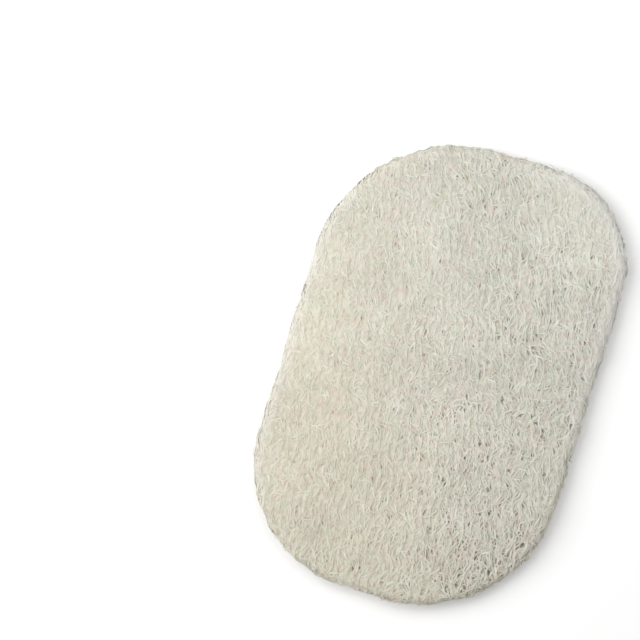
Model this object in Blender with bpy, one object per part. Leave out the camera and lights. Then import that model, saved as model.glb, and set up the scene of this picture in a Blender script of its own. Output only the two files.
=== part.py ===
"""Natural loofah pad: a rounded rectangle cut out of the pressed fibre net of a loofah fruit.

Metres, +Z up. The pad lies flat with its long side along Y, and the origin is at the middle of
its underside. It is one piece of plant fibre, so it is one solid. The fibres are finer than a
solid of this kind can hold, so the net is raised on both faces larger than life.
"""

import math
import random

import bmesh
import bpy
from mathutils import Vector, noise

# The cut pad
PAD_LENGTH = 0.150
PAD_WIDTH = 0.100
PAD_THICKNESS = 0.008
CORNER_RADII = {
    "top_right": 0.033,
    "top_left": 0.048,
    "bottom_left": 0.041,
    "bottom_right": 0.046,
}

# The cut edge: the pad is pressed thinner towards it, its corner is rounded and the cut is rough
THINNER_AT_EDGE = 0.0012
THINNING_WIDTH = 0.009
EDGE_ROUNDING = 0.0030
ROUNDING_STEPS = 2
CUT_STEP = 0.0036
CUT_ROUGHNESS = 0.00035

# The net: one cell is a diamond between two crossings of the strands
CELL_WIDTH = 0.0036
CELL_LENGTH = 0.0064
CROSSING_SHIFT = 0.16
UNDERSIDE_SHIFT = 0.05
WARP = 0.0016
WARP_LENGTH = 0.012
JOINED_CELLS = 0.62
LEAN_AT_MIDDLE = 0.23
LEAN_GAIN = 2.0

# Depths below the highest crossings
CREST_SWELL = 0.0004
SHALLOW_PIT = 0.0011
DEEP_PIT = 0.0024
FACE_SWELL = 0.0004
SWELL_LENGTH = 0.030

# The flat spot underneath, and the wider part of the underside that is level with it
REST_SPOT_RADIUS = 0.0075
LEVEL_RADIUS = 0.030

FIBRE_COLOUR = (0.66, 0.62, 0.51, 1.0)
FIBRE_ROUGHNESS = 0.9
SEED = 11


def clear_scene():
    for obj in list(bpy.data.objects):
        bpy.data.objects.remove(obj, do_unlink=True)


def new_collection(name):
    collection = bpy.data.collections.new(name)
    bpy.context.scene.collection.children.link(collection)
    return collection


def fibre_material():
    material = bpy.data.materials.new("loofah_fibre")
    material.use_nodes = True
    shader = material.node_tree.nodes["Principled BSDF"]
    shader.inputs["Base Color"].default_value = FIBRE_COLOUR
    shader.inputs["Roughness"].default_value = FIBRE_ROUGHNESS
    shader.inputs["Metallic"].default_value = 0.0
    return material


def distance_inside(x, y):
    """How far a point lies inside the cut outline, and below zero outside it."""
    name = ("top" if y > 0 else "bottom") + ("_right" if x > 0 else "_left")
    radius = CORNER_RADII[name]
    past_x = abs(x) - PAD_WIDTH / 2 + radius
    past_y = abs(y) - PAD_LENGTH / 2 + radius
    outside_corner = math.hypot(max(past_x, 0.0), max(past_y, 0.0))
    return radius - outside_corner - min(max(past_x, past_y), 0.0)


def cut_outline():
    """Points round the pad: straight sides with an arc at each corner, a little rough from the cut."""
    rough = random.Random(SEED)
    half_width, half_length = PAD_WIDTH / 2, PAD_LENGTH / 2
    corners = (
        ("top_right", 1, 1, 0.0),
        ("top_left", -1, 1, 0.5 * math.pi),
        ("bottom_left", -1, -1, math.pi),
        ("bottom_right", 1, -1, 1.5 * math.pi),
    )
    smooth = []
    for name, side_x, side_y, start in corners:
        radius = CORNER_RADII[name]
        centre_x = side_x * (half_width - radius)
        centre_y = side_y * (half_length - radius)
        steps = round(0.5 * math.pi * radius / CUT_STEP)
        for step in range(steps + 1):
            angle = start + 0.5 * math.pi * step / steps
            smooth.append(
                Vector(
                    (
                        centre_x + radius * math.cos(angle),
                        centre_y + radius * math.sin(angle),
                    )
                )
            )
    points = []
    for here, after in zip(smooth, smooth[1:] + smooth[:1]):
        steps = max(1, round((after - here).length / CUT_STEP))
        points += [here.lerp(after, step / steps) for step in range(steps)]
    rough_points = []
    for point in points:
        inward = rough.random() * CUT_ROUGHNESS
        rough_points.append(point * (1 - inward / point.length))
    return rough_points


def make_cutter(collection):
    """The outline as a disc with rounded edges, a little thicker than the pad."""
    curve = bpy.data.curves.new("outline", "CURVE")
    curve.dimensions = "2D"
    curve.fill_mode = "BOTH"
    curve.extrude = 0.52 * PAD_THICKNESS - EDGE_ROUNDING
    curve.bevel_depth = EDGE_ROUNDING
    curve.bevel_resolution = ROUNDING_STEPS - 1
    curve.offset = -EDGE_ROUNDING
    points = cut_outline()
    spline = curve.splines.new("POLY")
    spline.points.add(len(points) - 1)
    for spline_point, (x, y) in zip(spline.points, points):
        spline_point.co = (x, y, 0.0, 1.0)
    spline.use_cyclic_u = True
    drawn = bpy.data.objects.new("outline", curve)
    collection.objects.link(drawn)
    bpy.context.view_layer.update()
    evaluated = drawn.evaluated_get(bpy.context.evaluated_depsgraph_get())
    mesh = bpy.data.meshes.new_from_object(evaluated)
    bpy.data.objects.remove(drawn)
    bm = bmesh.new()
    bm.from_mesh(mesh)
    bmesh.ops.remove_doubles(bm, verts=bm.verts, dist=1e-6)
    bmesh.ops.recalc_face_normals(bm, faces=bm.faces)
    bmesh.ops.translate(bm, verts=bm.verts, vec=(0.0, 0.0, PAD_THICKNESS / 2))
    bm.to_mesh(mesh)
    bm.free()
    cutter = bpy.data.objects.new("outline_cutter", mesh)
    cutter.hide_render = True
    cutter.display_type = "WIRE"
    collection.objects.link(cutter)
    return cutter


def strand_drift(y):
    """Sideways place of a strand at height y: strands lean left, more so towards the top."""
    return -(LEAN_AT_MIDDLE * y + LEAN_GAIN * y * y / 2)


def lay_strands(rng):
    """A flat lattice whose edges are the strands: crossings shifted at random, some cells joined."""
    reach_x = PAD_WIDTH / 2 + abs(strand_drift(PAD_LENGTH / 2)) + CELL_WIDTH
    reach_y = PAD_LENGTH / 2 + CELL_LENGTH
    strands = 2 * math.ceil(reach_x / CELL_WIDTH + reach_y / CELL_LENGTH)
    bm = bmesh.new()
    bmesh.ops.create_grid(bm, x_segments=strands, y_segments=strands, size=strands / 2)
    for vert in bm.verts:
        right_leaning, left_leaning = vert.co.x, vert.co.y
        shift_x = rng.uniform(-CROSSING_SHIFT, CROSSING_SHIFT) * CELL_WIDTH
        shift_y = rng.uniform(-CROSSING_SHIFT, CROSSING_SHIFT) * CELL_LENGTH
        y = (right_leaning + left_leaning) * CELL_LENGTH / 2 + shift_y
        x = (right_leaning - left_leaning) * CELL_WIDTH / 2 + shift_x + strand_drift(y)
        x += WARP * noise.noise(Vector((x, y, 0.0)) / WARP_LENGTH)
        vert.co = (x, y, 0.0)
    outside = []
    for face in bm.faces:
        middle = face.calc_center_median()
        if distance_inside(middle.x, middle.y) < -CELL_LENGTH:
            outside.append(face)
    bmesh.ops.delete(bm, geom=outside, context="FACES")
    join_cells(bm, rng)
    return bm


def join_cells(bm, rng):
    """Takes out strands between pairs of cells, so that the net isn't regular."""
    joined = set()
    dropped = []
    bm.faces.index_update()
    order = [edge for edge in bm.edges if len(edge.link_faces) == 2]
    rng.shuffle(order)
    for edge in order:
        pair = [face.index for face in edge.link_faces]
        if joined.isdisjoint(pair) and rng.random() < JOINED_CELLS:
            joined.update(pair)
            dropped.append(edge)
    bmesh.ops.dissolve_edges(bm, edges=dropped)


def half_thickness(x, y):
    """Half of the pad's thickness at a point: less towards the cut edge."""
    nearness = min(max(1 - distance_inside(x, y) / THINNING_WIDTH, 0.0), 1.0)
    return (PAD_THICKNESS - THINNER_AT_EDGE * nearness * nearness) / 2


def sunk(x, y, side, is_pit, rng):
    """How far below the highest crossings a crossing or the bottom of a pit lies."""
    here = Vector((x, y, side * PAD_THICKNESS))
    swell = 0.5 + 0.5 * noise.noise(here / SWELL_LENGTH)
    crest = 0.5 + 0.5 * noise.noise(here / CELL_LENGTH)
    depth = FACE_SWELL * swell + CREST_SWELL * crest
    if is_pit:
        openness = 0.5 + 0.5 * (x / PAD_WIDTH - y / PAD_LENGTH)
        depth += SHALLOW_PIT + (DEEP_PIT - SHALLOW_PIT) * rng.random() * openness
    return depth


def raise_net(bm, rng):
    """Turns the flat lattice into a slab with strands and pits on both of its faces."""
    pit = bm.verts.layers.int.new("pit")
    poked = bmesh.ops.poke(bm, faces=bm.faces)
    for vert in poked["verts"]:
        vert[pit] = 1
    upper = bmesh.ops.extrude_face_region(bm, geom=list(bm.faces))
    upper_verts = {item for item in upper["geom"] if isinstance(item, bmesh.types.BMVert)}
    middle = PAD_THICKNESS / 2
    for vert in bm.verts:
        x, y = vert.co.xy
        if vert in upper_verts:
            vert.co.z = middle + half_thickness(x, y) - sunk(x, y, 1, vert[pit], rng)
            continue
        from_middle = math.hypot(x, y)
        if from_middle < REST_SPOT_RADIUS:
            vert.co.z = 0.0
            continue
        level = min(max(from_middle / LEVEL_RADIUS - 1.0, 0.0), 1.0)
        depth = sunk(x, y, -1, vert[pit], rng)
        if not vert[pit]:
            depth *= level
        vert.co.z = middle - half_thickness(x, y) + depth
        vert.co.x += rng.uniform(-UNDERSIDE_SHIFT, UNDERSIDE_SHIFT) * CELL_WIDTH
        vert.co.y += rng.uniform(-UNDERSIDE_SHIFT, UNDERSIDE_SHIFT) * CELL_LENGTH
    bmesh.ops.recalc_face_normals(bm, faces=bm.faces)


def make_pad(collection, cutter):
    rng = random.Random(SEED)
    bm = lay_strands(rng)
    raise_net(bm, rng)
    bmesh.ops.triangulate(bm, faces=bm.faces)
    mesh = bpy.data.meshes.new("loofah_pad")
    bm.to_mesh(mesh)
    bm.free()
    mesh.shade_smooth()
    mesh.set_sharp_from_angle(angle=math.radians(35))
    mesh.materials.append(fibre_material())
    pad = bpy.data.objects.new("loofah_pad", mesh)
    collection.objects.link(pad)
    cut = pad.modifiers.new("cut to outline", "BOOLEAN")
    cut.operation = "INTERSECT"
    cut.solver = "EXACT"
    cut.object = cutter
    return pad


def main():
    clear_scene()
    cutter = make_cutter(new_collection("cutters"))
    make_pad(new_collection("loofah_pad"), cutter)


main()
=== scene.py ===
import math

import bpy
import numpy as np
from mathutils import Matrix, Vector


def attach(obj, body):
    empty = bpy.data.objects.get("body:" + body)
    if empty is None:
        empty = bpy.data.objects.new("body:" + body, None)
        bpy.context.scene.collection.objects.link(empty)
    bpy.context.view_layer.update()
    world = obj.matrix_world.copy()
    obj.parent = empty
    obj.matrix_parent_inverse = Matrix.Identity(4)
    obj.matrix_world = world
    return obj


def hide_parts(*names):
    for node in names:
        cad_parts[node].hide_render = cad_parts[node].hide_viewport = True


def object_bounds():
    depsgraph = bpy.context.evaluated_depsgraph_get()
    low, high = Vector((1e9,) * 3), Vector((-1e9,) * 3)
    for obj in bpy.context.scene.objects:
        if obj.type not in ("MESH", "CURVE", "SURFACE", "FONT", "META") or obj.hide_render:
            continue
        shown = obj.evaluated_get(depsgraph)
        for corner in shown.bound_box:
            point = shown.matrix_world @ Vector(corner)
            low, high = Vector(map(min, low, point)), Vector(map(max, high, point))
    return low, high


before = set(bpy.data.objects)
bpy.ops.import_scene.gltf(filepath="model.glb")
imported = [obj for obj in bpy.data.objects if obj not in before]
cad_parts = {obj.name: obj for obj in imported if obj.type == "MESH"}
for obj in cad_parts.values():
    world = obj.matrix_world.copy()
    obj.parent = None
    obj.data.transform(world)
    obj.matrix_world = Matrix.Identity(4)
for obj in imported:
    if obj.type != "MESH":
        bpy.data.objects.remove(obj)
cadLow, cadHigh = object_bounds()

print("loofah pad: frame loaded")

# The cut pad, in metres. Corners go by the side they are on: right or left, top or bottom
pad = {
    "width": 0.1001,
    "length": 0.1501,
    "thickness": 0.0079,
    "topRight": 0.033,
    "topLeft": 0.048,
    "bottomLeft": 0.041,
    "bottomRight": 0.046,
    "edgeInset": 0.0034,  # where the faces start to round over
    "edgeArc": 0.0056,  # from there down to the middle of the edge, along the surface
    "roundLimit": 1.5,  # how far round fibres may go, in quarter turns
    "swell": 0.00022,  # slow rise and fall of the faces
    "rawEdge": 0.00030,  # how far the cut wanders in and out
    "undercut": 0.00055,  # the lower half of the edge stands back a little
    "undercutStart": 65,  # degrees round the edge where that begins, of 90 at the middle
    "thinner": 0.0012,  # the pad is pressed thinner towards its edge
    "thinnerWidth": 0.009,
    "cutStart": 0.0006,  # the upright part of the cut starts this far past the outline
    "cutFull": 0.0018,
}

# The net of fibres: where it is pressed smooth, how open it is, and where painted light and shade
# make it paler or darker
net = {
    "pressedWidth": 0.0060,  # of the smooth band round the top right corner
    "pressedLeft": 0.0036,  # of the fainter band on the left
    "pressedLeftShare": 0.45,
    "pressedShut": 0.7,  # how far pressing shuts the net
    "open": 0.36,
    "openRight": 0.17,
    "openEnds": 0.06,
    "openTwist": 0.04,  # top right and bottom left, less at the other two
    "openTopRight": -0.35,
    "openBottomRight": 1.25,
    "closedWidth": 0.0045,  # the cut pressed the net shut this far in
    "closed": 0.45,
    "cutLoose": 0.20,  # more open on the cut itself, from the middle to the right
    # painted light and shade down the right side and along the bottom
    "shadeAlong": (-0.8, -0.4, 0, 0.4, 0.8),  # places up the right side
    "shadeRight": (0, -0.055, -0.045, 0.015, 0.055),  # how much paler it is at each
    "shadeBottom": -0.038,
}


def waveField(seed, count, shortest, longest):
    # smooth random field made of crossing waves, about -2 to 2
    rng = np.random.default_rng(seed)
    turn = rng.uniform(0, 2 * math.pi, count)
    reach = 2 * math.pi / rng.uniform(shortest, longest, count)
    shift = rng.uniform(0, 2 * math.pi, count)

    def read(x, y):
        total = np.zeros(np.shape(x))
        for t, k, s in zip(turn, reach, shift):
            total += np.sin(k * (np.cos(t) * x + np.sin(t) * y) + s)
        return total * math.sqrt(2 / count)

    return read


faceWave = {1: waveField(3, 14, 0.018, 0.05), -1: waveField(4, 14, 0.018, 0.05)}
edgeWander = waveField(5, 16, 0.004, 0.015)
fibreTurn = waveField(6, 18, 0.006, 0.022)
cutGrain = waveField(8, 24, 0.0018, 0.005)


def faceSwell(x, y, side):
    # always below the full thickness, so that the pad stays on the floor
    return pad["swell"] * (np.clip(faceWave[side](x, y), -2, 2) - 2)


# Strands run up the pad in loose bundles with shallow grooves between them
bundles = {
    "spacing": 0.0027,
    "slope": 0.306,  # sideways for each metre up the pad
    "curve": 1.35,
    "gather": 0.45,  # how strongly fibres are drawn to the middle of a bundle
    "groove": 0.00022,
    "stray": 0.00055,  # how far a bundle wanders sideways
}
bundleStray = waveField(7, 22, 0.007, 0.020)


def bundlePhase(x, y):
    # 0 in the middle of a bundle, pi in a groove
    acrossStrands = x + bundles["slope"] * y + bundles["curve"] * y**2
    acrossStrands = acrossStrands + bundles["stray"] * bundleStray(x, y)
    return 2 * math.pi * acrossStrands / bundles["spacing"]


def onFace(x, y):
    # the place on the pad, across and along, each from -1 to 1
    return x / (pad["width"] / 2), y / (pad["length"] / 2)


def insideEdge(x, y):
    # how far inside the cut edge a point is, and which way is out
    right, top = x > 0, y > 0
    corner = np.where(
        right,
        np.where(top, pad["topRight"], pad["bottomRight"]),
        np.where(top, pad["topLeft"], pad["bottomLeft"]),
    )
    pastX = np.abs(x) - pad["width"] / 2 + corner
    pastY = np.abs(y) - pad["length"] / 2 + corner
    bend = np.hypot(np.maximum(pastX, 0), np.maximum(pastY, 0))
    inside = corner - bend - np.minimum(np.maximum(pastX, pastY), 0)
    round_ = (pastX > 0) & (pastY > 0)
    safe = np.maximum(bend, 1e-9)
    outX = np.where(round_, pastX / safe, pastX >= pastY) * np.sign(x)
    outY = np.where(round_, pastY / safe, pastX < pastY) * np.sign(y)
    return inside, outX, outY


def onCut(inside):
    # 0 on the faces, 1 on the cut itself
    return np.clip((-inside - pad["cutStart"]) / (pad["cutFull"] - pad["cutStart"]), 0, 1)


def pressedAt(x, y):
    # the top right corner is pressed smooth along its edge, the left side in a narrower band
    inside = insideEdge(x, y)[0]
    across, along = onFace(x, y)
    corner = np.clip(across, 0, 1) * np.clip(0.25 + along, 0, 1)
    corner = corner * np.clip(1.2 - inside / net["pressedWidth"], 0, 1)
    left = np.clip(-1.5 - 3 * across, 0, 1) * np.clip(4 - 5 * np.abs(along), 0, 1)
    left = net["pressedLeftShare"] * left * np.clip(1.3 - inside / net["pressedLeft"], 0, 1)
    return np.maximum(corner, left) * (1 - onCut(inside))


def looseAt(x, y):
    # how open the net is: least on the left, most at the bottom right corner
    across, along = onFace(x, y)
    right, top = np.clip(across, 0, 1), np.clip(along, 0, 1)
    belowTop = np.clip(1.6 - 1.6 * along, 0, 1)
    bottom = np.clip(-1.6 * along - 0.6, 0, 1)
    loose = net["open"] + net["openRight"] * np.minimum(across, 0.5) * belowTop
    loose = loose + net["openEnds"] * along**2 + net["openTopRight"] * right * top**3
    loose = loose + net["openTwist"] * across * along
    loose = loose + net["openBottomRight"] * right**3 * bottom**1.5
    inside = insideEdge(x, y)[0]
    cut = onCut(inside)
    shut = np.clip(1 - inside / net["closedWidth"], 0, 1) * (1 - cut)
    loose = loose * (1 - net["pressedShut"] * pressedAt(x, y)) * (1 - net["closed"] * shut)
    return loose + net["cutLoose"] * cut * np.clip(1 + across, 0, 1)


def paintedShading(x, y):
    # painted light and shade: how much paler or darker the fibres are painted from place to place,
    # darker on the lower and middle right side and along the bottom, paler near the top right
    across, along = onFace(x, y)
    right = np.interp(along, net["shadeAlong"], net["shadeRight"])
    bottom = net["shadeBottom"] * np.clip(-2.6 * along - 1.04, 0, 1)
    return 1 + right * np.clip(1.6 * across - 0.1, 0, 1) + bottom


def thinning(inside):
    # how much each face drops near the cut
    return pad["thinner"] / 2 * np.clip(1 - inside / pad["thinnerWidth"], 0, 1) ** 2


def cutWander(x, y):
    # how far the raw cut stands out or in
    return pad["rawEdge"] * np.clip(edgeWander(x, y), -2, 1)


def onPad(x, y, depth, side):
    # takes a place on the flattened skin to its place in space, round the edge too
    inside, outX, outY = insideEdge(x, y)
    past = np.maximum(pad["edgeInset"] - inside, 0)
    angle = np.minimum(past / pad["edgeArc"], pad["roundLimit"]) * math.pi / 2
    wander = cutWander(x, y) * np.sin(angle)
    tuckStart = math.radians(pad["undercutStart"])
    tucked = np.clip((angle - tuckStart) / (math.pi / 2 - tuckStart), 0, 1)
    tuck = pad["undercut"] * np.where(side < 0, 1, tucked)
    outward = (pad["edgeInset"] + wander - depth - tuck) * np.sin(angle) - past
    half = pad["thickness"] / 2
    rise = half - depth + faceSwell(x, y, side) - thinning(inside)
    z = half + side * rise * np.cos(angle)
    tilt = np.sin(angle)
    up = np.stack([outX * tilt, outY * tilt, side * np.cos(angle)], -1)
    return np.stack([x + outX * outward, y + outY * outward, z], -1), up


# Small holes between the fibres, more and larger where the net is loose
holes = {
    "seed": 26,
    "count": 1800,
    "smallest": 0.00024,
    "largest": 0.00092,
    "stretch": 1.5,  # longer along the fibres
    "fewLarge": 2.2,  # the higher, the fewer large ones
    "sizeTight": 0.5,
    "sizeLoose": 1.1,
    "likely": 2.4,
    "likelyPower": 2.5,
    "depth": 0.0027,
    "depthTight": 0.1,
    "depthLoose": 1.2,
    "cell": 0.0002,
    "margin": 0.012,  # of the map, past the pad
    "past": 0.004,  # they go on round the edge
}

# How the fibres lie, in degrees
leaning = {
    "topLeft": 16,  # further to the left there
    "bottomRight": 16,  # further to the right there
    "turn": 3,
}


def leanAt(x, y):
    # degrees that the fibres lean to the left of straight up
    across, along = onFace(x, y)
    right, left = np.clip(across, 0, 1), np.clip(-across, 0, 1)
    top, bottom = np.clip(along, 0, 1), np.clip(-along, 0, 1)
    step = 0.0003
    rise = bundlePhase(x, y + step) - bundlePhase(x, y - step)
    side = bundlePhase(x + step, y) - bundlePhase(x - step, y)
    lean = np.degrees(np.arctan2(rise, side))
    lean = lean + leaning["topLeft"] * left * top**1.5
    lean = lean - leaning["bottomRight"] * right**2 * bottom**2
    return lean + leaning["turn"] * fibreTurn(x, y)


def punchHoles(side):
    # a map of how the fibres are pushed aside, and of how open the skin is
    rng = np.random.default_rng(holes["seed"] + side)
    cell = holes["cell"]
    wide = int((pad["width"] + holes["margin"]) / cell)
    long_ = int((pad["length"] + holes["margin"]) / cell)
    push = np.zeros((wide, long_, 2))
    open_ = np.zeros((wide, long_))
    made = 0
    while made < holes["count"]:
        x = rng.uniform(-0.5, 0.5) * (pad["width"] + holes["past"])
        y = rng.uniform(-0.5, 0.5) * (pad["length"] + holes["past"])
        loose = float(looseAt(x, y))
        if rng.random() > holes["likely"] * loose ** holes["likelyPower"]:
            continue
        made += 1
        span = holes["largest"] - holes["smallest"]
        size = holes["smallest"] + span * rng.random() ** holes["fewLarge"]
        size *= holes["sizeTight"] + holes["sizeLoose"] * loose
        lean = math.radians(float(leanAt(x, y)))
        reach = int(size * holes["stretch"] / cell) + 2
        i, j = int(x / cell + wide / 2), int(y / cell + long_ / 2)
        columns = np.arange(max(i - reach, 0), min(i + reach + 1, wide))
        rows = np.arange(max(j - reach, 0), min(j + reach + 1, long_))
        gx, gy = np.meshgrid(columns, rows, indexing="ij")
        dx = (gx - wide / 2 + 0.5) * cell - x
        dy = (gy - long_ / 2 + 0.5) * cell - y
        along = (-math.sin(lean) * dx + math.cos(lean) * dy) / holes["stretch"]
        aside = math.cos(lean) * dx + math.sin(lean) * dy
        far = np.hypot(along, aside)
        near = np.clip(1 - far / size, 0, 1)
        shove = near * size * np.sign(aside)
        push[gx, gy, 0] += shove * math.cos(lean)
        push[gx, gy, 1] += shove * math.sin(lean)
        open_[gx, gy] = np.maximum(open_[gx, gy], np.clip(1 - (far / size) ** 2, 0, 1))

    def read(x, y):
        i = np.clip((x / cell + wide / 2).astype(int), 0, wide - 1)
        j = np.clip((y / cell + long_ / 2).astype(int), 0, long_ - 1)
        return push[i, j], open_[i, j]

    return read


holesAt = {1: punchHoles(1), -1: punchHoles(-1)}
print("loofah pad: holes placed")

# The matted skin of one face, and the looser fibres over it
faceMat = {
    "count": 9800,
    "rings": 4,
    "band": 1,  # how far in from the cut they grow: everywhere
    "shortest": 0.0030,
    "longest": 0.0066,
    "thin": 0.000105,
    "thick": 0.000190,
    "wide": 1.6,  # fibres are pressed flat
    "flat": 0.65,
    "roll": 10,  # degrees that their flat side is off the surface
    "spread": 17,  # degrees either side of the lean
    "tangle": 11,  # more across the middle and at the bottom
    "crossing": 0.10,  # share that lies right across
    "wander": 10,  # degrees of turn at each ring
    "deepest": 0.00040,
    "weave": 0.00016,  # how far a fibre goes over and under
    "weaveLength": 0.0042,
    "lift": 0,
    "leftShare": 1,
    "tufts": 1,
    "tufted": 0,
}

# Short ends that the cut left standing out of the edge, with the same settings
cutEnds = {
    "count": 700,
    "rings": 6,
    "band": 0.0008,
    "shortest": 0.0016,
    "longest": 0.0040,
    "thin": 0.000060,
    "thick": 0.000120,
    "wide": 1.3,
    "flat": 0.9,
    "roll": 40,
    "spread": 50,
    "tangle": 0,
    "crossing": 0.25,
    "wander": 16,
    "deepest": 0.00030,
    "weave": 0.00010,
    "weaveLength": 0.0030,
    "lift": 0.0015,  # how far the far end stands out
    "leftShare": 0.12,  # fewer on the left
    "tufts": 26,
    "tufted": 0.5,  # share that stands in tufts
}


# What all the fibres share
growth = {
    "tuftSize": 0.0004,
    "tangledBand": 0.014,  # half the height of the tangled band across the middle
    "tangledBottom": 0.5,
    "crossingFrom": 45,  # degrees off the lean
    "crossingTo": 135,
    "bow": 0.6,  # of the wander, the same way all along a fibre
    "reliefTight": 0.42,
    "reliefLoose": 0.8,
    "pushTop": 1.1,  # how far a hole pushes the topmost fibres aside
    "pushLess": 0.7,  # and how much less the deepest
    "endDip": 0.0004,  # the ends dive into the net
    "endTaper": 0.55,
    "bulge": 0.15,
    "evenTone": 1.7,  # the higher, the more alike the fibres
}


def growFibres(s, side, seed):
    # centre lines of the fibres of one mat, with their thickness and what the material reads
    rng = np.random.default_rng(seed)
    count, rings = s["count"], s["rings"]
    x, y = np.empty(0), np.empty(0)
    reach = pad["edgeArc"] - pad["edgeInset"]
    while len(x) < count:
        tryX = rng.uniform(-0.5, 0.5, count) * (pad["width"] + 2 * reach)
        tryY = rng.uniform(-0.5, 0.5, count) * (pad["length"] + 2 * reach)
        inside = insideEdge(tryX, tryY)[0]
        keep = (inside > -reach) & (inside < s["band"])
        keep = keep & (rng.random(count) < np.where(tryX > 0, 1, s["leftShare"]))
        x, y = np.append(x, tryX[keep])[:count], np.append(y, tryY[keep])[:count]
    gathered = rng.random(count) < s["tufted"]
    root = np.where(gathered, rng.integers(0, s["tufts"], count), np.arange(count))
    x = x[root] + gathered * rng.normal(0, growth["tuftSize"], count)
    y = y[root] + gathered * rng.normal(0, growth["tuftSize"], count)
    tangled = np.exp(-((y / growth["tangledBand"]) ** 2))
    tangled = tangled + growth["tangledBottom"] * np.clip(-y / 0.04 - 0.7, 0, 1)
    off = rng.normal(0, 1, count) * (s["spread"] + s["tangle"] * tangled)
    across = rng.random(count) < s["crossing"]
    off = np.where(across, rng.uniform(growth["crossingFrom"], growth["crossingTo"], count), off)
    length = rng.uniform(s["shortest"], s["longest"], count)
    step = length / (rings - 1)
    bow = rng.normal(0, s["wander"] * growth["bow"], count)
    heading = leanAt(x, y) + off
    xs, ys = [x], [y]
    for _ in range(rings - 1):
        x = x - np.sin(np.radians(heading)) * step
        y = y + np.cos(np.radians(heading)) * step
        xs.append(x)
        ys.append(y)
        heading = heading + bow + rng.normal(0, s["wander"], count)
    xs, ys = np.stack(xs, 1), np.stack(ys, 1)
    xs -= (xs[:, -1:] - xs[:, :1]) / 2
    ys -= (ys[:, -1:] - ys[:, :1]) / 2
    relief = growth["reliefTight"] + growth["reliefLoose"] * looseAt(x, y)[:, None]
    level = rng.random(count)[:, None]
    aside, _ = holesAt[side](xs, ys)
    aside = aside * (growth["pushTop"] - growth["pushLess"] * level)[..., None]
    phase = bundlePhase(xs, ys)
    xs = xs - bundles["gather"] * bundles["spacing"] / (2 * math.pi) * np.sin(phase)
    groove = (0.5 - 0.5 * np.cos(phase)) ** 2
    xs, ys = xs + aside[..., 0], ys + aside[..., 1]
    run = np.linspace(0, 1, rings)[None, :]
    phase = rng.uniform(0, 2 * math.pi, count)[:, None]
    wave = s["weaveLength"] * rng.uniform(0.7, 1.4, count)[:, None]
    weave = 0.5 + 0.5 * np.sin(2 * math.pi * run * length[:, None] / wave + phase)
    end = np.abs(2 * run - 1) ** 6
    thick = s["thin"] + (s["thick"] - s["thin"]) * rng.random(count)[:, None] ** 1.6
    depth = thick + relief * (s["deepest"] * level**1.3 + s["weave"] * weave)
    depth = depth + growth["endDip"] * end
    depth = depth + relief * bundles["groove"] * groove
    depth = depth - s["lift"] * rng.random(count)[:, None] ** 2.5 * run**1.5
    points, up = onPad(xs, ys, depth, side)
    radius = thick * (1 - growth["endTaper"] * end)
    radius = radius * (1 + growth["bulge"] * np.sin(9 * run + phase))
    tone = rng.beta(growth["evenTone"], growth["evenTone"], count)[:, None] + 0 * run
    hue = rng.random(count)[:, None] + 0 * run
    # the material paints lower fibres darker and browner by this: partly painted shade, partly
    # browner fibre
    sunk = np.clip((depth - thick) / (s["deepest"] + s["weave"]), 0, 1)  # 0 at the top
    marks = {"tone": tone, "hue": hue, "sunk": sunk}
    # the pale mark carries painted light and shade
    marks.update({"pressed": pressedAt(xs, ys), "pale": paintedShading(xs, ys)})
    return points, up, radius, marks


def unwrapTubes(mesh, count, rings):
    # each fibre gets a narrow cell of its own, its two end caps above and below the strip
    columns = math.ceil(math.sqrt(count * 6))
    rows = math.ceil(count / columns)
    ring = np.arange(rings - 1)[:, None, None]
    side = np.arange(3)[None, :, None]
    u = (side + np.array([0, 0, 1, 1])[None, None]) / 3 + 0 * ring
    v = (ring + np.array([0, 1, 1, 0])[None, None]) / (rings - 1) + 0 * side
    strip = np.stack([0.1 + 0.8 * u, 0.08 + 0.84 * v], -1).reshape(-1, 2)
    lowCap = np.array([(0.2, 0.01), (0.8, 0.01), (0.5, 0.05)])
    highCap = np.array([(0.2, 0.95), (0.8, 0.95), (0.5, 0.99)])
    fibre = np.arange(count)
    corner = np.stack([fibre % columns, fibre // columns], -1)[:, None]
    size = np.array([columns, rows])
    places = [((corner + part[None]) / size).reshape(-1, 2) for part in (strip, lowCap, highCap)]
    mesh.uv_layers.new(name="OFBake").data.foreach_set("uv", np.concatenate(places).ravel())


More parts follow.
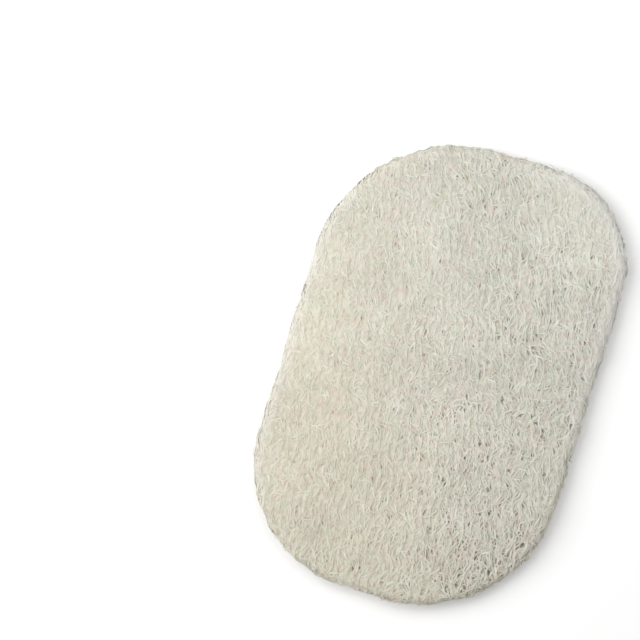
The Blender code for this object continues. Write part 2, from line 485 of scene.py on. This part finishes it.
def fibreTubes(name, points, up, radius, marks, s, seed):
    # one closed three-sided tube a fibre, all in one mesh
    rng = np.random.default_rng(seed)
    count, rings = radius.shape
    along = np.gradient(points, axis=1)
    along /= np.linalg.norm(along, axis=2, keepdims=True)
    across = np.cross(along, up)
    across /= np.linalg.norm(across, axis=2, keepdims=True)
    over = np.cross(across, along)
    roll = np.radians(rng.normal(0, s["roll"], (count, 1, 1)))
    turn = roll + np.radians([30, 150, 270])
    turn = np.broadcast_to(turn, (count, rings, 3))[..., None]
    circle = s["wide"] * np.cos(turn) * across[:, :, None]
    circle = circle + s["flat"] * np.sin(turn) * over[:, :, None]
    verts = (points[:, :, None] + radius[:, :, None, None] * circle).reshape(-1, 3)
    verts[:, 2] = np.maximum(verts[:, 2], 0.00002)  # nothing under the floor
    first = np.arange(count)[:, None, None] * rings * 3
    ring = np.arange(rings - 1)[None, :, None] * 3
    side = np.arange(3)[None, None, :]
    after = (side + 1) % 3
    low = first + ring
    quads = np.stack([low + side, low + 3 + side, low + 3 + after, low + after], -1).reshape(-1, 4)
    start = (np.arange(count) * rings * 3)[:, None]
    finish = start + (rings - 1) * 3
    caps = np.concatenate([start + [0, 1, 2], finish + [2, 1, 0]])
    mesh = bpy.data.meshes.new(name)
    mesh.from_pydata(verts.tolist(), [], quads.tolist() + caps.tolist())
    unwrapTubes(mesh, count, rings)
    for label, value in marks.items():
        layer = mesh.attributes.new(label, "FLOAT", "POINT")
        layer.data.foreach_set("value", np.repeat(value, 3, axis=1).ravel().astype(np.float32))
    mesh.shade_flat()
    piece = bpy.data.objects.new(name, mesh)
    bpy.context.scene.collection.objects.link(piece)
    return piece


# The inside of the pad, seen only through the gaps in the skin
core = {
    "voxel": 0.00088,
    "below": 0.00040,  # how far under the skin it starts
    "edge": 0.00065,  # how far inside the cut it stays
    "follow": 0.0030,  # how far in it follows the raw cut
    "rough": 0.00010,
    "dip": 0.0004,  # pores in the cut
    "sink": 0.0010,  # how much further where the net is loose
    "ribs": 0.00012,
    "round": 0.0026,  # of its edges, before it is laid under the skin
    "cornerSteps": 24,
    "flatFrom": 0.35,  # of the half thickness, where it starts to follow the faces
    "flatBy": 0.4,
    "seed": 60,
    # how far the material paints the core darker and browner: partly painted shade, partly browner
    # fibre
    "sunkBase": 0.75,  # how deep the material takes it to be
    "sunkHole": 2.4,
    "sunkPore": 1.6,
}


def unwrapCore(mesh, place):
    # the upper half beside the lower half
    normals = np.empty(len(mesh.polygons) * 3, np.float32)
    mesh.polygons.foreach_get("normal", normals)
    sizes = np.empty(len(mesh.polygons), np.int32)
    mesh.polygons.foreach_get("loop_total", sizes)
    ends = np.empty(len(mesh.loops), np.int32)
    mesh.loops.foreach_get("vertex_index", ends)
    upper = np.repeat(normals[2::3] >= 0, sizes)
    u = 0.25 + 0.46 * place[ends, 0] / pad["width"] + 0.5 * upper
    v = 0.5 + 0.96 * place[ends, 1] / pad["length"]
    mesh.uv_layers.new(name="OFBake").data.foreach_set("uv", np.stack([u, v], -1).ravel())


def makeCore(name):
    # a rounded slab, remeshed finely and then laid under the skin of both faces
    curve = bpy.data.curves.new(name, "CURVE")
    curve.dimensions = "2D"
    curve.fill_mode = "BOTH"
    curve.extrude = pad["thickness"] / 2 - core["below"] - core["round"]
    curve.bevel_depth = core["round"]
    curve.bevel_resolution = 4
    curve.offset = -core["round"] - core["edge"]
    spline = curve.splines.new("POLY")
    ring = []
    for sideX, sideY, corner, start in (
        (1, 1, pad["topRight"], 0),
        (-1, 1, pad["topLeft"], 90),
        (-1, -1, pad["bottomLeft"], 180),
        (1, -1, pad["bottomRight"], 270),
    ):
        for angle in np.radians(np.linspace(start, start + 90, core["cornerSteps"])):
            ring.append(
                (
                    sideX * (pad["width"] / 2 - corner) + corner * math.cos(angle),
                    sideY * (pad["length"] / 2 - corner) + corner * math.sin(angle),
                    0,
                    1,
                )
            )
    spline.points.add(len(ring) - 1)
    spline.points.foreach_set("co", np.array(ring, dtype=np.float32).ravel())
    spline.use_cyclic_u = True
    drawn = bpy.data.objects.new(name + "Outline", curve)
    bpy.context.scene.collection.objects.link(drawn)
    bpy.context.view_layer.update()
    graph = bpy.context.evaluated_depsgraph_get()
    mesh = bpy.data.meshes.new_from_object(drawn.evaluated_get(graph))
    bpy.data.objects.remove(drawn)
    mesh.name = name
    piece = bpy.data.objects.new(name, mesh)
    bpy.context.scene.collection.objects.link(piece)
    weld = piece.modifiers.new("weld", "WELD")
    weld.merge_threshold = 1e-6
    remesh = piece.modifiers.new("even faces", "REMESH")
    remesh.mode = "VOXEL"
    remesh.voxel_size = core["voxel"]
    bpy.context.view_layer.update()
    graph = bpy.context.evaluated_depsgraph_get()
    fine = bpy.data.meshes.new_from_object(piece.evaluated_get(graph))
    fine.name = name
    piece.modifiers.clear()
    piece.data = fine
    bpy.data.meshes.remove(mesh)
    place = np.empty(len(fine.vertices) * 3, np.float32)
    fine.vertices.foreach_get("co", place)
    place = place.reshape(-1, 3)
    x, y, z = place[:, 0], place[:, 1], place[:, 2]
    tall = pad["thickness"] / 2 - core["below"]
    sunk = np.full(len(x), core["sunkBase"])
    for side in (1, -1):
        here = side * z > core["flatFrom"] * tall
        _, open_ = holesAt[side](x[here], y[here])
        ribs = np.cos(bundlePhase(x[here], y[here]))
        swell = faceSwell(x[here], y[here], side) - thinning(insideEdge(x[here], y[here])[0])
        loose = np.clip(looseAt(x[here], y[here]) - 0.2, 0, 1)
        deeper = holes["depthTight"] + holes["depthLoose"] * loose
        depth = open_ * holes["depth"] * deeper + core["sink"] * loose - core["ribs"] * ribs
        share = np.clip((side * z[here] / tall - core["flatFrom"]) / core["flatBy"], 0, 1)
        z[here] += side * (swell - depth) * share
        # holes in the core are painted darker and browner: partly painted shade, partly browner
        # fibre
        sunk[here] = core["sunkBase"] + core["sunkHole"] * open_
    inside, outX, outY = insideEdge(x, y)
    nearCut = np.clip(1 - (inside - core["edge"]) / core["follow"], 0, 1)
    grain = cutGrain(x + z, y - z)
    dips = np.clip(grain - 0.5, 0, 1) * nearCut
    shift = (cutWander(x, y) + core["rough"] * grain) * nearCut - core["dip"] * dips
    # pores in the cut are painted darker and browner: partly painted shade, partly browner fibre
    sunk += core["sunkPore"] * dips
    tuckStart = math.cos(math.radians(pad["undercutStart"])) * tall
    shift -= pad["undercut"] * nearCut * np.clip(1 - z / tuckStart, 0, 1)
    x += outX * shift
    y += outY * shift
    z += pad["thickness"] / 2
    fine.vertices.foreach_set("co", place.ravel())
    fine.update()
    rng = np.random.default_rng(core["seed"])
    marks = {"tone": rng.beta(2, 2, len(x)), "hue": 0.5 + 0 * x, "sunk": sunk}
    # the pale mark carries painted light and shade
    marks.update({"pressed": pressedAt(x, y), "pale": paintedShading(x, y)})
    for label, value in marks.items():
        layer = fine.attributes.new(label, "FLOAT", "POINT")
        layer.data.foreach_set("value", value.astype(np.float32))
    fine.shade_smooth()
    unwrapCore(fine, place)
    return piece


# Dried fibre: cream, a little different from fibre to fibre and from patch to patch
fibreLook = {
    "colours": [
        (0.00, (0.585, 0.55, 0.475)),
        (0.12, (0.65, 0.625, 0.567)),
        (0.45, (0.685, 0.67, 0.62)),
        (0.80, (0.732, 0.722, 0.676)),
        (1.00, (0.775, 0.769, 0.738)),
    ],
    "patchScale": 300,  # of the casts below
    "hueSpread": 0.10,  # from fibre to fibre
    "hueDrift": 0.30,  # from one part of the pad to another
    "blotchScale": 62,  # slow patches, darker and paler
    "blotches": (0.945, 1.045),
    "casts": [
        (0.28, (1.0, 0.93, 0.90)),
        (0.42, (0.99, 0.975, 0.95)),
        (0.50, (0.96, 0.98, 0.96)),
        (0.60, (0.98, 0.985, 0.92)),
        (0.74, (0.93, 1.0, 0.95)),
    ],
    # the colour goes yellower towards the bottom left and greyer towards the top right
    "yellower": (1.0, 0.977, 0.918),  # towards the bottom left
    "greyer": (0.974, 0.985, 0.988),  # towards the top right
    "diagonalSlope": 1.6,  # across the pad as against along it
    "pressedColour": (0.735, 0.73, 0.71),
    "pressedShare": 0.8,
    # painted shade: dark dots between the fibres, in the deep colour, where the net would open
    "pitScale": 950,  # dark dots between the fibres
    "pitTurn": -15,  # degrees
    "pitStretch": 0.55,  # longer up the pad
    "pitSize": (0.50, 0.20),
    "pitShare": 0.30,
    "pitTop": 0.5,  # how much of it the topmost fibres take
    "pitDeeper": 0.9,
    "speckColour": (0.50, 0.37, 0.13),  # a few dots of ochre
    "speckRarity": 0.9935,
    "speckShare": 1.7,
    # deeper fibres, the core and the dots between fibres mix towards this: partly painted shade,
    # partly browner fibre
    "deepShadeAndBrown": (0.42, 0.345, 0.23),
    "deepShadeShare": 0.16,
    "roughLow": 0.62,
    "roughHigh": 0.92,
    "sheen": 0.12,
    "specular": 0.25,
    "grain": 0.00003,
    "grainScale": 4200,
    "grainStrength": 0.7,
}


def fibreMaterial(name, look):
    material = bpy.data.materials.new(name)
    material.use_nodes = True
    nodes, links = material.node_tree.nodes, material.node_tree.links
    shader = nodes["Principled BSDF"]
    shader.inputs["Sheen Weight"].default_value = look["sheen"]
    shader.inputs["Specular IOR Level"].default_value = look["specular"]

    def node(kind, **values):
        made = nodes.new(kind)
        for key, value in values.items():
            setattr(made, key, value)
        return made

    tone = node("ShaderNodeAttribute", attribute_name="tone")
    ramp = node("ShaderNodeValToRGB")
    stops = ramp.color_ramp.elements
    while len(stops) < len(look["colours"]):
        stops.new(0.5)
    for stop, (place, colour) in zip(stops, look["colours"]):
        stop.position, stop.color = place, (*colour, 1)
    links.new(tone.outputs["Fac"], ramp.inputs["Fac"])

    space = node("ShaderNodeTexCoord")
    patches = node("ShaderNodeTexNoise")
    patches.inputs["Scale"].default_value = look["patchScale"]
    patches.inputs["Detail"].default_value = 4
    links.new(space.outputs["Object"], patches.inputs["Vector"])
    ownHue = node("ShaderNodeAttribute", attribute_name="hue")
    hueShift = node("ShaderNodeMapRange")
    hueShift.inputs["To Min"].default_value = -look["hueSpread"]
    hueShift.inputs["To Max"].default_value = look["hueSpread"]
    links.new(ownHue.outputs["Fac"], hueShift.inputs["Value"])
    hueSum = node("ShaderNodeMath", operation="ADD")
    links.new(patches.outputs["Fac"], hueSum.inputs[0])
    links.new(hueShift.outputs["Result"], hueSum.inputs[1])
    blotch = node("ShaderNodeTexNoise")
    blotch.inputs["Scale"].default_value = look["blotchScale"]
    blotch.inputs["Detail"].default_value = 2
    links.new(space.outputs["Object"], blotch.inputs["Vector"])
    drift = node("ShaderNodeMath", operation="MULTIPLY_ADD")
    drift.inputs[1].default_value = look["hueDrift"]
    drift.inputs[2].default_value = -look["hueDrift"] / 2
    blotchHue = node("ShaderNodeSeparateColor")
    links.new(blotch.outputs["Color"], blotchHue.inputs["Color"])
    links.new(blotchHue.outputs["Green"], drift.inputs[0])
    drifted = node("ShaderNodeMath", operation="ADD")
    links.new(hueSum.outputs["Value"], drifted.inputs[0])
    links.new(drift.outputs["Value"], drifted.inputs[1])
    hue = node("ShaderNodeValToRGB")
    casts = hue.color_ramp.elements
    while len(casts) < len(look["casts"]):
        casts.new(0.5)
    for stop, (place, colour) in zip(casts, look["casts"]):
        stop.position, stop.color = place, (*colour, 1)
    links.new(drifted.outputs["Value"], hue.inputs["Fac"])
    tint = node("ShaderNodeMix", data_type="RGBA", blend_type="MULTIPLY")
    tint.inputs["Factor"].default_value = 1
    links.new(ramp.outputs["Color"], tint.inputs["A"])
    links.new(hue.outputs["Color"], tint.inputs["B"])

    place = node("ShaderNodeSeparateXYZ")
    links.new(space.outputs["Object"], place.inputs["Vector"])
    diagonal = node("ShaderNodeMath", operation="MULTIPLY_ADD")
    diagonal.inputs[1].default_value = look["diagonalSlope"]
    links.new(place.outputs["X"], diagonal.inputs[0])
    links.new(place.outputs["Y"], diagonal.inputs[2])
    # yellower towards the bottom left, greyer towards the top right
    diagonalBlend = node("ShaderNodeMapRange")
    diagonalBlend.inputs["From Min"].default_value = -pad["length"] / 2
    diagonalBlend.inputs["From Max"].default_value = pad["length"] / 2
    links.new(diagonal.outputs["Value"], diagonalBlend.inputs["Value"])
    cast = node("ShaderNodeMix", data_type="RGBA", blend_type="MIX")
    cast.inputs["A"].default_value = (*look["yellower"], 1)
    cast.inputs["B"].default_value = (*look["greyer"], 1)
    links.new(diagonalBlend.outputs["Result"], cast.inputs["Factor"])
    diagonalTinted = node("ShaderNodeMix", data_type="RGBA", blend_type="MULTIPLY")
    diagonalTinted.inputs["Factor"].default_value = 1
    links.new(tint.outputs["Result"], diagonalTinted.inputs["A"])
    links.new(cast.outputs["Result"], diagonalTinted.inputs["B"])

    blotchTone = node("ShaderNodeMapRange")
    blotchTone.inputs["From Min"].default_value = 0.3
    blotchTone.inputs["From Max"].default_value = 0.7
    blotchTone.inputs["To Min"].default_value = look["blotches"][0]
    blotchTone.inputs["To Max"].default_value = look["blotches"][1]
    links.new(blotch.outputs["Fac"], blotchTone.inputs["Value"])
    uneven = node("ShaderNodeMix", data_type="RGBA", blend_type="MULTIPLY")
    uneven.inputs["Factor"].default_value = 1
    links.new(diagonalTinted.outputs["Result"], uneven.inputs["A"])
    # painted light and shade: the pale mark makes the colour paler or darker by place, along with
    # the blotches
    paintedShadeTone = node("ShaderNodeAttribute", attribute_name="pale")
    shade = node("ShaderNodeMath", operation="MULTIPLY")
    links.new(blotchTone.outputs["Result"], shade.inputs[0])
    links.new(paintedShadeTone.outputs["Fac"], shade.inputs[1])
    links.new(shade.outputs["Value"], uneven.inputs["B"])

    # Deeper places mixed darker and browner: partly painted shade, partly browner fibre
    sunk = node("ShaderNodeAttribute", attribute_name="sunk")
    share = node("ShaderNodeMath", operation="MULTIPLY")
    share.inputs[1].default_value = look["deepShadeShare"]
    links.new(sunk.outputs["Fac"], share.inputs[0])
    deepShaded = node("ShaderNodeMix", data_type="RGBA", blend_type="MIX")
    deepShaded.inputs["B"].default_value = (*look["deepShadeAndBrown"], 1)
    links.new(share.outputs["Value"], deepShaded.inputs["Factor"])
    pressed = node("ShaderNodeAttribute", attribute_name="pressed")
    paleShare = node("ShaderNodeMath", operation="MULTIPLY")
    paleShare.inputs[1].default_value = look["pressedShare"]
    links.new(pressed.outputs["Fac"], paleShare.inputs[0])
    pale = node("ShaderNodeMix", data_type="RGBA", blend_type="MIX")
    pale.inputs["B"].default_value = (*look["pressedColour"], 1)
    links.new(paleShare.outputs["Value"], pale.inputs["Factor"])
    # painted shade: voronoi dots mixed towards the deep colour, more on deeper fibres
    stretched = node("ShaderNodeMapping")
    stretched.inputs["Scale"].default_value = (1, look["pitStretch"], 1)
    stretched.inputs["Rotation"].default_value = (0, 0, math.radians(look["pitTurn"]))
    links.new(space.outputs["Object"], stretched.inputs["Vector"])
    pits = node("ShaderNodeTexVoronoi")
    pits.inputs["Scale"].default_value = look["pitScale"]
    links.new(stretched.outputs["Vector"], pits.inputs["Vector"])
    pitShape = node("ShaderNodeMapRange", interpolation_type="SMOOTHSTEP")
    pitShape.inputs["From Min"].default_value = look["pitSize"][0]
    pitShape.inputs["From Max"].default_value = look["pitSize"][1]
    pitShape.inputs["To Max"].default_value = look["pitShare"]
    links.new(pits.outputs["Distance"], pitShape.inputs["Value"])
    pitKind = node("ShaderNodeSeparateColor")
    links.new(pits.outputs["Color"], pitKind.inputs["Color"])
    pitDepth = node("ShaderNodeMath", operation="MULTIPLY")
    links.new(pitShape.outputs["Result"], pitDepth.inputs[0])
    links.new(pitKind.outputs["Red"], pitDepth.inputs[1])
    between = node("ShaderNodeMath", operation="MULTIPLY_ADD")
    between.inputs[1].default_value = look["pitDeeper"]
    between.inputs[2].default_value = look["pitTop"]
    links.new(sunk.outputs["Fac"], between.inputs[0])
    pitMark = node("ShaderNodeMath", operation="MULTIPLY")
    links.new(pitDepth.outputs["Value"], pitMark.inputs[0])
    links.new(between.outputs["Value"], pitMark.inputs[1])
    pitShaded = node("ShaderNodeMix", data_type="RGBA", blend_type="MIX")
    pitShaded.inputs["B"].default_value = (*look["deepShadeAndBrown"], 1)
    links.new(uneven.outputs["Result"], pitShaded.inputs["A"])
    links.new(pitMark.outputs["Value"], pitShaded.inputs["Factor"])
    rare = node("ShaderNodeMath", operation="GREATER_THAN")
    rare.inputs[1].default_value = look["speckRarity"]
    links.new(pitKind.outputs["Green"], rare.inputs[0])
    speckShape = node("ShaderNodeMath", operation="MULTIPLY")
    links.new(pitShape.outputs["Result"], speckShape.inputs[0])
    links.new(rare.outputs["Value"], speckShape.inputs[1])
    speckMark = node("ShaderNodeMath", operation="MULTIPLY")
    speckMark.inputs[1].default_value = look["speckShare"]
    links.new(speckShape.outputs["Value"], speckMark.inputs[0])
    specked = node("ShaderNodeMix", data_type="RGBA", blend_type="MIX")
    specked.inputs["B"].default_value = (*look["speckColour"], 1)
    links.new(pitShaded.outputs["Result"], specked.inputs["A"])
    links.new(speckMark.outputs["Value"], specked.inputs["Factor"])
    links.new(specked.outputs["Result"], pale.inputs["A"])
    links.new(pale.outputs["Result"], deepShaded.inputs["A"])
    links.new(deepShaded.outputs["Result"], shader.inputs["Base Color"])

    grain = node("ShaderNodeTexNoise")
    grain.inputs["Scale"].default_value = look["grainScale"]
    grain.inputs["Detail"].default_value = 4
    links.new(space.outputs["Object"], grain.inputs["Vector"])
    rough = node("ShaderNodeMapRange")
    rough.inputs["To Min"].default_value = look["roughLow"]
    rough.inputs["To Max"].default_value = look["roughHigh"]
    links.new(grain.outputs["Fac"], rough.inputs["Value"])
    links.new(rough.outputs["Result"], shader.inputs["Roughness"])
    bump = node("ShaderNodeBump")
    bump.inputs["Distance"].default_value = look["grain"]
    bump.inputs["Strength"].default_value = look["grainStrength"]
    links.new(grain.outputs["Fac"], bump.inputs["Height"])
    links.new(bump.outputs["Normal"], shader.inputs["Normal"])
    return material


loofahFibre = fibreMaterial("loofahFibre", fibreLook)


def joinPad(piece, material):
    piece.data.materials.append(material)
    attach(piece, "root")
    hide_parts("loofah_pad")


coreFibre = makeCore("coreFibre")
joinPad(coreFibre, loofahFibre)
print("loofah pad: core has", len(coreFibre.data.polygons), "faces")

mats = (
    ("topMatLower", faceMat, 1, 31),
    ("topMatUpper", faceMat, 1, 32),
    ("undersideMatLower", faceMat, -1, 33),
    ("undersideMatUpper", faceMat, -1, 34),
    ("topCutEnds", cutEnds, 1, 35),
    ("undersideCutEnds", cutEnds, -1, 36),
)
for name, settings, side, seed in mats:
    grown = growFibres(settings, side, seed)
    mat = fibreTubes(name, *grown, settings, seed + 100)
    joinPad(mat, loofahFibre)
    print("loofah pad:", name, "has", settings["count"], "fibres")

# Plain pale studio
studio = {
    "floor": (0.96, 0.96, 0.958),
    "skyStrength": 0.58,
    "keyPlace": (-0.34, 0.13, 0.42),  # right and up in the picture, and towards the camera
    "keySize": 0.45,
    "keyPower": 2.15,
    "fillPlace": (0.12, 0.30, 0.46),
    "fillSize": 0.35,
    "fillPower": 0.60,
    "turn": 17.2,  # the pad lies turned clockwise in the picture
    "pixelsPerMetre": 3090,
    "padPixel": (436.9, 373.7),
    "imageSize": 640,
    "lens": 100,
}

floorMesh = bpy.data.meshes.new("floor")
floorMesh.from_pydata([(-2, -2, 0), (2, -2, 0), (2, 2, 0), (-2, 2, 0)], [], [(0, 1, 2, 3)])
floor = bpy.data.objects.new("floor", floorMesh)
floor.location.z = cadLow.z - 0.0002
bpy.context.scene.collection.objects.link(floor)
floorPaper = bpy.data.materials.new("floorPaper")
floorPaper.use_nodes = True
paper = floorPaper.node_tree.nodes["Principled BSDF"]
paper.inputs["Base Color"].default_value = (*studio["floor"], 1)
paper.inputs["Roughness"].default_value = 0.95
paper.inputs["Specular IOR Level"].default_value = 0.1
floorMesh.materials.append(floorPaper)

world = bpy.data.worlds.new("studio")
world.use_nodes = True
world.node_tree.nodes["Background"].inputs["Color"].default_value = (1, 1, 1, 1)
world.node_tree.nodes["Background"].inputs["Strength"].default_value = studio["skyStrength"]
bpy.context.scene.world = world
bpy.context.scene.view_settings.view_transform = "Standard"

turn = math.radians(studio["turn"])
pictureRight = np.array([math.cos(turn), math.sin(turn), 0])
pictureUp = np.array([-math.sin(turn), math.cos(turn), 0])
middle = studio["imageSize"] / 2
offRight = (studio["padPixel"][0] - middle) / studio["pixelsPerMetre"]
offUp = (middle - studio["padPixel"][1]) / studio["pixelsPerMetre"]
lookAt = -(offRight * pictureRight + offUp * pictureUp)

camera = bpy.data.objects.new("camera", bpy.data.cameras.new("camera"))
camera.data.lens = studio["lens"]
seenWidth = studio["imageSize"] / studio["pixelsPerMetre"]
away = seenWidth * studio["lens"] / camera.data.sensor_width
camera.location = (lookAt[0], lookAt[1], pad["thickness"] / 2 + away)
camera.rotation_euler = (0, 0, turn)
bpy.context.scene.collection.objects.link(camera)
bpy.context.scene.camera = camera

for name in ("key", "fill"):
    right, up, near = studio[name + "Place"]
    lamp = bpy.data.objects.new(name, bpy.data.lights.new(name, "AREA"))
    lamp.data.size = studio[name + "Size"]
    lamp.data.energy = studio[name + "Power"]
    place = right * pictureRight + up * pictureUp
    lamp.location = (place[0], place[1], near)
    lamp.rotation_euler = (-lamp.location).to_track_quat("-Z", "Y").to_euler()
    bpy.context.scene.collection.objects.link(lamp)
print("loofah pad: studio set")
